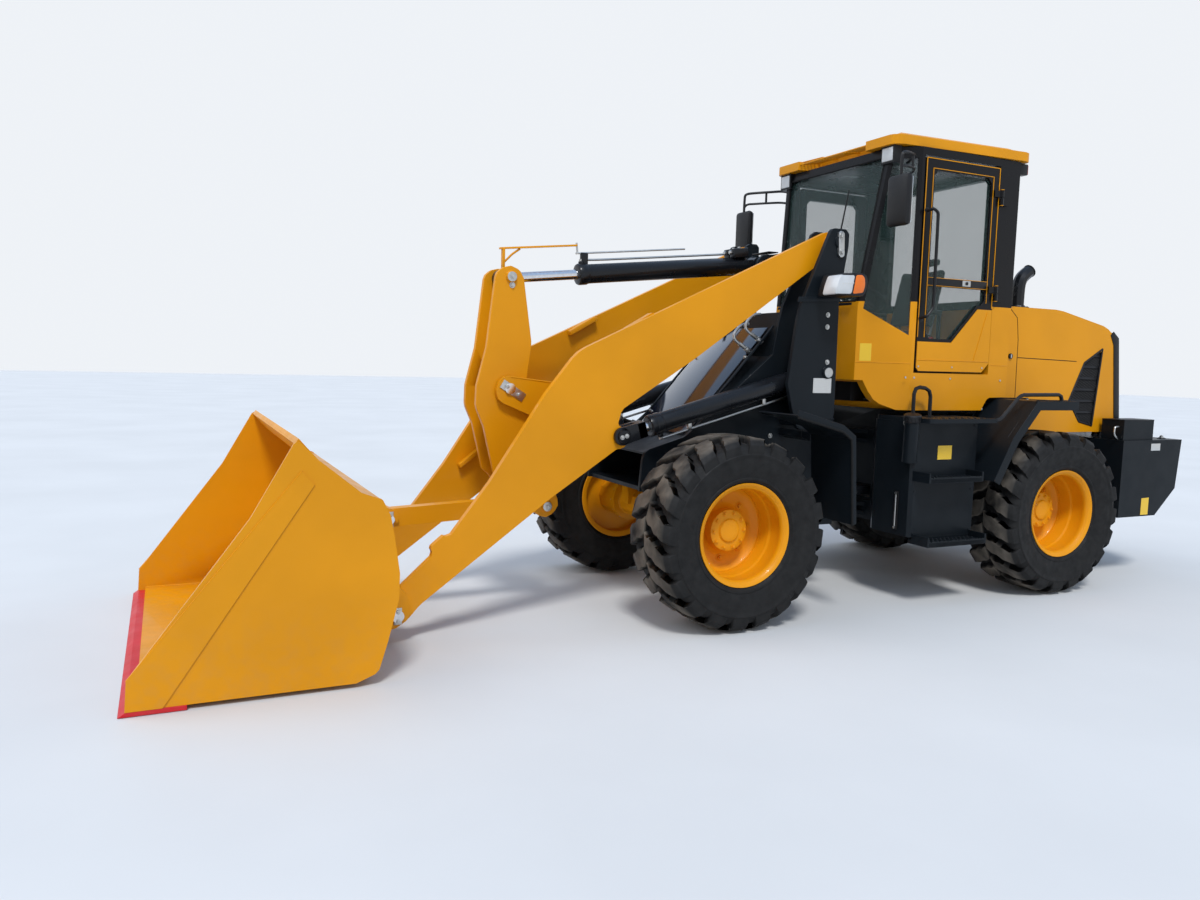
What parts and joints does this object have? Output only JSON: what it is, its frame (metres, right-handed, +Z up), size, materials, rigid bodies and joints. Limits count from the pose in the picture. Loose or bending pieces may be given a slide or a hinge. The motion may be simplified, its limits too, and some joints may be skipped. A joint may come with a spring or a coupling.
{
  "type": "wheel loader",
  "caption": "Articulated wheel loader with long lift arms, single-crank bucket linkage, glazed cab, tilting hood, counterweight and lugged tyres.",
  "frame": {"origin": "on the ground, on the centre plane, half-way along the overall length", "axes": "+X forward to the bucket, +Y to the left side, +Z up"},
  "size_m": [6.871, 2.052, 2.87],
  "materials": {
    "frame_black": "satin",
    "body_yellow": "gloss",
    "tyre": "matte",
    "rim_yellow": "satin",
    "cab_black": "gloss",
    "glass": "clear",
    "seat": "woven",
    "trim_black": "matte",
    "lamp": "gloss",
    "edge_red": "satin",
    "cylinder_black": "gloss",
    "chrome": "polished",
    "engine": "rough"
  },
  "bodies": {
    "rear_frame": {"rear_chassis": "frame_black", "rear_axle": "body_yellow", "counterweight": "frame_black", "engine_block": "engine", "side_tank_left": "frame_black", "side_tank_right": "frame_black", "rear_fenders": "frame_black", "handrails": "trim_black", "cab_skirt": "body_yellow", "cab_frame": "cab_black", "cab_glass": "glass", "roof": "body_yellow", "work_lamps": "lamp", "seat_base": "trim_black", "seat_cushions": "seat", "steering_column": "trim_black", "mirrors": "trim_black"},
    "front_frame": {"front_chassis": "frame_black", "front_axle": "body_yellow", "front_fenders": "frame_black", "headlamps": "lamp"},
    "wheel_front_left": {"tyre_front_left": "tyre", "rim_front_left": "rim_yellow"},
    "wheel_front_right": {"tyre_front_right": "tyre", "rim_front_right": "rim_yellow"},
    "wheel_rear_left": {"tyre_rear_left": "tyre", "rim_rear_left": "rim_yellow"},
    "wheel_rear_right": {"tyre_rear_right": "tyre", "rim_rear_right": "rim_yellow"},
    "lift_arms": {"boom": "body_yellow"},
    "lift_barrel_left": {"lift_barrel_left": "cylinder_black"},
    "lift_rod_left": {"lift_rod_left": "chrome"},
    "steer_barrel_left": {"steer_barrel_left": "cylinder_black"},
    "steer_rod_left": {"steer_rod_left": "chrome"},
    "door_left": {"door_left": "cab_black", "door_skin_left": "body_yellow", "door_glass_left": "glass"},
    "lift_barrel_right": {"lift_barrel_right": "cylinder_black"},
    "lift_rod_right": {"lift_rod_right": "chrome"},
    "steer_barrel_right": {"steer_barrel_right": "cylinder_black"},
    "steer_rod_right": {"steer_rod_right": "chrome"},
    "door_right": {"door_right": "cab_black", "door_skin_right": "body_yellow", "door_glass_right": "glass"},
    "bucket_pins": {"bucket_pins": "chrome"},
    "bucket": {"bucket": "body_yellow", "cutting_edge": "edge_red"},
    "bellcrank_pin": {"bellcrank_pin": "chrome"},
    "bellcrank": {"bellcrank": "body_yellow"},
    "link_pin": {"link_pin": "chrome"},
    "bucket_link": {"bucket_link": "body_yellow"},
    "tilt_barrel": {"tilt_barrel": "cylinder_black"},
    "tilt_piston": {"tilt_piston": "chrome"},
    "tilt_rod": {"tilt_rod": "chrome"},
    "hood": {"hood": "body_yellow", "hood_grilles": "trim_black", "exhaust_pipe": "trim_black"}
  },
  "joints": [
    {"name": "articulation", "type": "hinge", "parent": "rear_frame", "child": "front_frame", "pos_m": [-0.7615, 0, 0.75], "axis": [0, 0, 1], "range_deg": [-35, 35]},
    {"name": "roll_front_left", "type": "hinge", "parent": "front_frame", "child": "wheel_front_left", "pos_m": [0.4645, 0.75, 0.528], "axis": [0, 1, 0], "continuous": true},
    {"name": "roll_front_right", "type": "hinge", "parent": "front_frame", "child": "wheel_front_right", "pos_m": [0.4645, -0.75, 0.528], "axis": [0, 1, 0], "continuous": true},
    {"name": "roll_rear_left", "type": "hinge", "parent": "rear_frame", "child": "wheel_rear_left", "pos_m": [-1.9875, 0.75, 0.528], "axis": [0, 1, 0], "continuous": true},
    {"name": "roll_rear_right", "type": "hinge", "parent": "rear_frame", "child": "wheel_rear_right", "pos_m": [-1.9875, -0.75, 0.528], "axis": [0, 1, 0], "continuous": true},
    {"name": "boom_lift", "type": "hinge", "parent": "front_frame", "child": "lift_arms", "pos_m": [-0.3835, 0, 2.17], "axis": [0, -1, 0], "range_deg": [0, 70]},
    {"name": "bucket_level", "type": "hinge", "parent": "lift_arms", "child": "bucket_pins", "pos_m": [2.2185, 0, 0.146], "axis": [0, -1, 0], "range_deg": [-70, 0]},
    {"name": "bucket_tilt", "type": "hinge", "parent": "bucket_pins", "child": "bucket", "pos_m": [2.2185, 0, 0.146], "axis": [0, -1, 0], "range_deg": [-45, 42]},
    {"name": "crank_level", "type": "hinge", "parent": "lift_arms", "child": "bellcrank_pin", "pos_m": [1.5305, 0, 1.27], "axis": [0, -1, 0], "range_deg": [0, 36.5]},
    {"name": "crank_swing", "type": "hinge", "parent": "bellcrank_pin", "child": "bellcrank", "pos_m": [1.5305, 0, 1.27], "axis": [0, -1, 0], "range_deg": [-21.9, 23.5]},
    {"name": "link_level", "type": "hinge", "parent": "bucket", "child": "link_pin", "pos_m": [2.1735, 0, 0.563], "axis": [0, -1, 0], "range_deg": [0, 56.1]},
    {"name": "link_swing", "type": "hinge", "parent": "link_pin", "child": "bucket_link", "pos_m": [2.1735, 0, 0.563], "axis": [0, -1, 0], "range_deg": [-44.2, 47.3]},
    {"name": "lift_barrel_swing_left", "type": "hinge", "parent": "front_frame", "child": "lift_barrel_left", "pos_m": [-0.3355, 0.435, 1.4], "axis": [0, -1, 0], "range_deg": [0, 63.9]},
    {"name": "lift_rod_slide_left", "type": "slide", "parent": "lift_barrel_left", "child": "lift_rod_left", "axis": [0.9625, 0, -0.2712], "range_m": [0, 0.8655]},
    {"name": "lift_barrel_swing_right", "type": "hinge", "parent": "front_frame", "child": "lift_barrel_right", "pos_m": [-0.3355, -0.435, 1.4], "axis": [0, -1, 0], "range_deg": [0, 63.9]},
    {"name": "lift_rod_slide_right", "type": "slide", "parent": "lift_barrel_right", "child": "lift_rod_right", "axis": [0.9625, 0, -0.2712], "range_m": [0, 0.8655]},
    {"name": "tilt_barrel_swing", "type": "hinge", "parent": "front_frame", "child": "tilt_barrel", "pos_m": [-0.1655, 0, 2.065], "axis": [0, -1, 0], "range_deg": [0, 69.95]},
    {"name": "tilt_piston_slide", "type": "slide", "parent": "tilt_barrel", "child": "tilt_piston", "axis": [0.9941, 0, -0.1086], "range_m": [-0.1195, 0]},
    {"name": "tilt_rod_slide", "type": "slide", "parent": "tilt_piston", "child": "tilt_rod", "axis": [0.9941, 0, -0.1086], "range_m": [-0.2475, 0.2312]},
    {"name": "steer_barrel_swing_left", "type": "hinge", "parent": "rear_frame", "child": "steer_barrel_left", "pos_m": [-1.1755, 0.225, 0.62], "axis": [0, 0, 1], "range_deg": [-6.8, 6.8]},
    {"name": "steer_rod_slide_left", "type": "slide", "parent": "steer_barrel_left", "child": "steer_rod_left", "axis": [1, 0, 0], "range_m": [-0.1335, 0.1335]},
    {"name": "steer_barrel_swing_right", "type": "hinge", "parent": "rear_frame", "child": "steer_barrel_right", "pos_m": [-1.1755, -0.225, 0.62], "axis": [0, 0, 1], "range_deg": [-6.8, 6.8]},
    {"name": "steer_rod_slide_right", "type": "slide", "parent": "steer_barrel_right", "child": "steer_rod_right", "axis": [1, 0, 0], "range_m": [-0.1335, 0.1335]},
    {"name": "door_left", "type": "hinge", "parent": "rear_frame", "child": "door_left", "pos_m": [-1.5635, 0.65, 2], "axis": [0, 0, 1], "range_deg": [0, 95]},
    {"name": "door_right", "type": "hinge", "parent": "rear_frame", "child": "door_right", "pos_m": [-1.5635, -0.65, 2], "axis": [0, 0, -1], "range_deg": [0, 95]},
    {"name": "hood", "type": "hinge", "parent": "rear_frame", "child": "hood", "pos_m": [-3.0705, 0, 1.005], "axis": [0, -1, 0], "range_deg": [0, 55]}
  ],
  "couplings": [
    {"joint": "bucket_level", "follows": "boom_lift", "ratio": -1},
    {"joint": "crank_level", "follows": "boom_lift", "ratio": 0.52},
    {"joint": "crank_swing", "follows": "bucket_tilt", "ratio": -0.52},
    {"joint": "link_level", "follows": "boom_lift", "ratio": 0.8},
    {"joint": "link_swing", "follows": "bucket_tilt", "ratio": -1.05},
    {"joint": "lift_barrel_swing_left", "follows": "boom_lift", "ratio": 0.9123},
    {"joint": "lift_rod_slide_left", "follows": "boom_lift", "m_per_rad": 0.7079},
    {"joint": "lift_barrel_swing_right", "follows": "boom_lift", "ratio": 0.9123},
    {"joint": "lift_rod_slide_right", "follows": "boom_lift", "m_per_rad": 0.7079},
    {"joint": "tilt_barrel_swing", "follows": "boom_lift", "ratio": 0.9985},
    {"joint": "tilt_piston_slide", "follows": "boom_lift", "m_per_rad": -0.0974},
    {"joint": "tilt_rod_slide", "follows": "bucket_tilt", "m_per_rad": 0.315},
    {"joint": "steer_barrel_swing_left", "follows": "articulation", "ratio": 0.192},
    {"joint": "steer_rod_slide_left", "follows": "articulation", "m_per_rad": -0.2178},
    {"joint": "steer_barrel_swing_right", "follows": "articulation", "ratio": 0.192},
    {"joint": "steer_rod_slide_right", "follows": "articulation", "m_per_rad": 0.2178}
  ]
}
